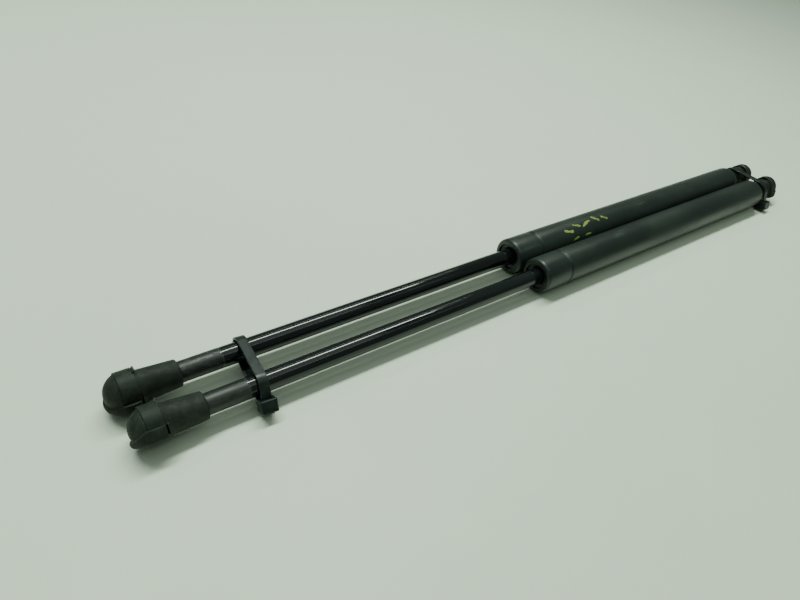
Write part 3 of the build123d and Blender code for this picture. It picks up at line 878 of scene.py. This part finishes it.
def tint(name, text, value):
    """Colour setting."""
    return FloatVectorProperty(name=name, description=text, subtype="COLOR", default=value, min=0, max=1)


def spot(name, text, value):
    """Setting of a place in metres."""
    return FloatVectorProperty(name=name, description=text, subtype="TRANSLATION", default=value)


def length(name, text, value, low, high):
    """Setting of a length in metres."""
    return FloatProperty(name=name, description=text, unit="LENGTH", default=value, min=low, max=high)


def number(name, text, value, low, high):
    """Plain number setting."""
    return FloatProperty(name=name, description=text, default=value, min=low, max=high)


class STAY_look(bpy.types.PropertyGroup):
    """Colours and gloss of the finishes."""
    paint: tint("Tube paint", "Colour of the painted tubes", (0.008, 0.014, 0.011))
    paint_gloss: number("Paint roughness", "Roughness of the tubes' paint", 0.40, 0, 1)
    rod: tint("Rod", "Colour of the gloss black rods", (0.004, 0.006, 0.006))
    rod_gloss: number("Rod roughness", "Roughness of the gloss length of the rods", 0.07, 0, 1)
    rod_worn: tint(
        "Dull rod end", "Colour of the dull length next to the fitting", (0.007, 0.010, 0.008))
    plastic: tint("Socket plastic", "Colour of the ball sockets", (0.008, 0.012, 0.009))
    dust: tint("Dust", "Colour of dust and rubbed places", (0.022, 0.030, 0.022))
    clip: tint("Clip", "Colour of the clips", (0.013, 0.019, 0.014))
    nylon: tint("Tie nylon", "Colour of the cable ties", (0.004, 0.008, 0.007))
    nylon_gloss: number("Nylon roughness", "Roughness of the cable ties", 0.34, 0, 1)
    marker: tint("Marker paint", "Colour of the marker dabs", (0.26, 0.33, 0.06))
    floor: tint("Floor", "Colour of the floor", (0.68, 0.76, 0.63))


class STAY_shape(bpy.types.PropertyGroup):
    """Fineness and small details of the shapes."""
    segments: IntProperty(
        name="Round steps", description="Steps round a tube or rod", default=224, min=48, max=512)
    skin_step: length("Socket step", "Grid step of the sockets' skin", 0.25 * MM, 0.1 * MM, MM)
    tooth_pitch: length("Tooth pitch", "Spacing of the ties' teeth", 1.1 * MM, 0.5 * MM, 3 * MM)
    tooth_depth: length("Tooth depth", "Depth of the ties' teeth", 0.28 * MM, 0, 0.5 * MM)
    strap_edge: length("Strap edge", "Rounding of the ties' edges", 0.3 * MM, 0.05 * MM, 0.55 * MM)
    dab_width: length("Dab width", "Width of a marker dab", 1.5 * MM, 0.3 * MM, 5 * MM)


class STAY_stage(bpy.types.PropertyGroup):
    """Camera, floor and lights."""
    eye: spot("Camera place", "Where the camera stands", (-0.29513, -0.17512, 0.22994))
    aim: spot("Camera aim", "Point the camera looks at", (-0.11528, 0.01016, 0.011))
    roll: FloatProperty(
        name="Camera roll", description="Turn about the line of sight", subtype="ANGLE",
        default=math.radians(12.44))
    lens: number("Focal length", "Focal length for a 36 mm wide sensor, in millimetres", 27.88, 5, 200)
    key: number("Key light", "Power of the overhead light", 17.0, 0, 500)
    fill: number("Fill light", "Power of the large soft panel", 4.0, 0, 500)
    streak: number("Strip light", "Power of the narrow strips seen in the rods", 1.6, 0, 500)
    sky: number("Room light", "Strength of the even light all round", 0.16, 0, 5)


class STAY_settings(bpy.types.PropertyGroup):
    """All settings of the stay."""
    look: PointerProperty(type=STAY_look)
    shape: PointerProperty(type=STAY_shape)
    stage: PointerProperty(type=STAY_stage)


def finish(name, make):
    """The finish called name, made on first use.

    The frame brings in plain materials under the slots' names, so finishes carry their own.
    """
    look = bpy.context.scene.stay.look
    colours = {key: tuple(value) if hasattr(value, "__len__") else value for key, value in (
        (key, getattr(look, key)) for key in STAY_look.__annotations__)}
    return bpy.data.materials.get(f"{name}_finish") or make(type("Look", (), colours))


# ======================= operators =======================

class STAY_OT_tubes(bpy.types.Operator):
    """Make both painted pressure tubes"""
    bl_idname = "stay.tubes"
    bl_label = "Pressure tubes"

    def execute(self, context):
        steps = context.scene.stay.shape.segments
        for side in AXIS:
            put(f"{side}_tube_skin", tube_skin(side, steps), "tubes",
                f"{side}_pressure_tube", finish("tube_paint", tube_paint), 40)
        return {"FINISHED"}


class STAY_OT_washers(bpy.types.Operator):
    """Make both end washers inside the rolled lips"""
    bl_idname = "stay.washers"
    bl_label = "End washers"

    def execute(self, context):
        steps = context.scene.stay.shape.segments
        for side in AXIS:
            put(f"{side}_washer_skin", washer_skin(side, steps), "tubes",
                f"{side}_end_washer", finish("end_washer_plastic", washer_plastic), 40)
        return {"FINISHED"}


class STAY_OT_rods(bpy.types.Operator):
    """Make both piston rods"""
    bl_idname = "stay.rods"
    bl_label = "Piston rods"

    def execute(self, context):
        steps = context.scene.stay.shape.segments
        for side in AXIS:
            rod = put(f"{side}_rod_skin", rod_skin(side, steps), f"{side}_rod",
                      f"{side}_piston_rod", finish("rod_black", rod_finish), 40)
            note_length(rod, "from_fitting", AXIS[side][0] - ROD_OUT)
        return {"FINISHED"}


class STAY_OT_sockets(bpy.types.Operator):
    """Make the four moulded ball sockets"""
    bl_idname = "stay.sockets"
    bl_label = "Ball sockets"

    def execute(self, context):
        step = context.scene.stay.shape.skin_step / MM
        low = (-COLLAR_R - 3 * step, -COLLAR_R - 3 * step, MOUTH_AT - 3 * step)
        high = (SHANK_FROM_BALL + 3 * step, COLLAR_R + 3 * step, DOME_R + 3 * step)
        points, quads, tris = field_skin(socket_field, low, high, step)
        for name in CROWN:
            side, end = name.split("_")
            body = "tubes" if end == "tube" else f"{side}_rod"
            skin = fitting_place(points, name), quads, tris
            put(f"{name}_socket_skin", skin, body,
                f"{name}_ball_socket", finish("socket_plastic", socket_plastic))
        return {"FINISHED"}


class STAY_OT_clips(bpy.types.Operator):
    """Make the four spring clips over the sockets"""
    bl_idname = "stay.clips"
    bl_label = "Socket clips"

    def execute(self, context):
        points, quads, tris = clip_skin(0.12)
        for name in CROWN:
            skin = fitting_place(points, name), quads, tris
            put(f"{name}_clip_skin", skin, f"{name}_clip",
                f"{name}_socket_clip", finish("clip_steel", clip_finish), 40)
        return {"FINISHED"}


class STAY_OT_front_tie(bpy.types.Operator):
    """Make the cable tie round both rods"""
    bl_idname = "stay.front_tie"
    bl_label = "Front cable tie"

    def execute(self, context):
        make_tie(context, "front_tie", FRONT_TIE, "front_tie")
        return {"FINISHED"}


class STAY_OT_rear_tie(bpy.types.Operator):
    """Make the cable tie round both tube-end fittings"""
    bl_idname = "stay.rear_tie"
    bl_label = "Rear cable tie"

    def execute(self, context):
        make_tie(context, "rear_tie", REAR_TIE, "tubes")
        return {"FINISHED"}


def make_tie(context, name, size, body):
    """Make one cable tie and let it ride on a body."""
    shape = context.scene.stay.shape
    skin = tie_skin(size, shape.tooth_pitch / MM, shape.tooth_depth / MM, shape.strap_edge / MM, 0.1)
    put(f"{name}_skin", skin, body, name, finish("tie_nylon", tie_nylon), 40)


class STAY_OT_marks(bpy.types.Operator):
    """Make the generic dabs of marker paint on the left tube"""
    bl_idname = "stay.marks"
    bl_label = "Marker dabs"

    def execute(self, context):
        width = context.scene.stay.shape.dab_width / MM
        dabs = [
            ((44, 22), (52, 34), 1.2), ((54, 8), (60, 26), 1.0), ((62, 30), (71, 14), 1.2),
            ((74, 4), (80, 24), 1.1), ((83, 12), (88, 30), 0.9), ((50, 62), (56, 60), 0.8),
            ((62, 61), (68, 58), 0.7),
        ]
        skins = [dab_skin(a, b, width * share, 0.04, 1.7 * n) for n, (a, b, share) in enumerate(dabs)]
        put("left_tube_marks", together(*skins), "tubes", None,
            finish("marker_paint", marker_paint))
        return {"FINISHED"}


class STAY_OT_inner(bpy.types.Operator):
    """Give the pieces inside the tubes their finishes"""
    bl_idname = "stay.inner"
    bl_label = "Inner parts"

    def execute(self, context):
        looks = {
            "guide_alloy": ((0.55, 0.56, 0.57), 0.42, 1.0, 1800),
            "bush_bronze": ((0.45, 0.30, 0.14), 0.38, 1.0, 2400),
            "seal_rubber": ((0.012, 0.012, 0.012), 0.60, 0.0, 2600),
            "plain_steel": ((0.42, 0.42, 0.43), 0.34, 1.0, 2200),
            "piston_alloy": ((0.58, 0.58, 0.60), 0.46, 1.0, 1600),
            "ring_plastic": ((0.30, 0.24, 0.16), 0.50, 0.0, 2600),
        }
        inner = {
            "rod_guide": "guide_alloy", "guide_bush": "bush_bronze", "rod_seal": "seal_rubber",
            "seal_washer": "plain_steel", "stop_washer": "plain_steel", "piston": "piston_alloy",
            "piston_ring": "ring_plastic", "orifice_disc": "plain_steel",
            "retaining_washer": "plain_steel", "end_plug": "plain_steel", "plug_seal": "seal_rubber",
        }
        made = {name: machined(name, *values) for name, values in looks.items()}
        for side in AXIS:
            for part, look in inner.items():
                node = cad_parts[f"{side}_{part}"]
                for slot in node.material_slots:
                    slot.material = made[look]
        return {"FINISHED"}


def light(name, azimuth, elevation, distance, size, power, aim):
    """Rectangular light that faces aim from a direction; size is (along X, across)."""
    a, e = math.radians(azimuth), math.radians(elevation)
    away = Vector((math.cos(a) * math.cos(e), math.sin(a) * math.cos(e), math.sin(e)))
    lamp = bpy.data.lights.new(name, "AREA")
    lamp.shape = "RECTANGLE"
    lamp.size, lamp.size_y = size
    lamp.energy = power
    lamp.color = (0.88, 1.0, 0.89)
    item = bpy.data.objects.new(name, lamp)
    across = Vector((1, 0, 0)) if abs(away.x) < 0.9 else Vector((0, 1, 0))
    side = (across - away * across.dot(away)).normalized()
    up = away.cross(side)
    turn = Matrix((side, up, away)).transposed().to_4x4()
    item.matrix_world = Matrix.Translation(Vector(aim) + away * distance) @ turn
    bpy.context.scene.collection.objects.link(item)


class STAY_OT_stage(bpy.types.Operator):
    """Make the camera, the floor and the lights"""
    bl_idname = "stay.stage"
    bl_label = "Stage"

    def execute(self, context):
        stage = context.scene.stay.stage
        eye, aim = Vector(stage.eye), Vector(stage.aim)
        ahead = (aim - eye).normalized()
        level = ahead.cross((0, 0, 1)).normalized()
        up = level.cross(ahead)
        sin, cos = math.sin(stage.roll), math.cos(stage.roll)
        axes = Matrix((cos * level + sin * up, cos * up - sin * level, -ahead)).transposed()
        lens = bpy.data.cameras.new("camera")
        lens.lens = stage.lens
        lens.sensor_width = 36.0
        lens.clip_start = 0.01
        camera = bpy.data.objects.new("camera", lens)
        camera.matrix_world = Matrix.Translation(eye) @ axes.to_4x4()
        context.scene.collection.objects.link(camera)
        context.scene.camera = camera

        half = 2.5
        mesh = bpy.data.meshes.new("floor")
        corners = [(-half, -half, 0), (half, -half, 0), (half, half, 0), (-half, half, 0)]
        mesh.from_pydata(corners, [], [(0, 1, 2, 3)])
        mesh.materials.append(finish("table_top", floor_finish))
        floor = bpy.data.objects.new("floor", mesh)
        context.scene.collection.objects.link(floor)

        light("key", 90, 72, 1.1, (1.3, 0.14), stage.key, (0, 0, 0))
        light("fill", 250, 78, 1.5, (1.6, 1.2), stage.fill, (0, 0, 0))
        light("strip_high", 90, 48, 1.2, (1.8, 0.03), stage.streak, (0, 0, 0))
        light("strip_middle", 90, 62, 1.2, (1.8, 0.015), stage.streak * 0.5, (0, 0, 0))
        light("strip_low", 270, 62, 1.2, (1.8, 0.02), stage.streak * 0.4, (0, 0, 0))
        room = bpy.data.worlds.new("room")
        room.use_nodes = True
        back = room.node_tree.nodes["Background"]
        back.inputs["Color"].default_value = (0.82, 1.0, 0.86, 1)
        back.inputs["Strength"].default_value = stage.sky
        context.scene.world = room
        return {"FINISHED"}


OPERATORS = (
    STAY_OT_stage, STAY_OT_tubes, STAY_OT_washers, STAY_OT_rods, STAY_OT_sockets, STAY_OT_clips,
    STAY_OT_front_tie, STAY_OT_rear_tie, STAY_OT_marks, STAY_OT_inner,
)


class STAY_PT_panel(bpy.types.Panel):
    """Sidebar list of everything the stay is made of"""
    bl_idname = "STAY_PT_panel"
    bl_label = "Gas strut stay"
    bl_space_type = "VIEW_3D"
    bl_region_type = "UI"
    bl_category = "Stay"

    def draw(self, context):
        for operator in OPERATORS:
            self.layout.operator(operator.bl_idname)
        settings = context.scene.stay
        for group in (settings.look, settings.shape, settings.stage):
            box = self.layout.box()
            for key in type(group).__annotations__:
                box.prop(group, key)


CLASSES = (STAY_look, STAY_shape, STAY_stage, STAY_settings, *OPERATORS, STAY_PT_panel)


def register():
    for item in CLASSES:
        bpy.utils.register_class(item)
    bpy.types.Scene.stay = PointerProperty(type=STAY_settings)


def unregister():
    del bpy.types.Scene.stay
    for item in reversed(CLASSES):
        bpy.utils.unregister_class(item)


def main():
    """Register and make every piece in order."""
    register()
    for operator in OPERATORS:
        group, name = operator.bl_idname.split(".")
        getattr(getattr(bpy.ops, group), name)()


if __name__ == "__main__":
    main()
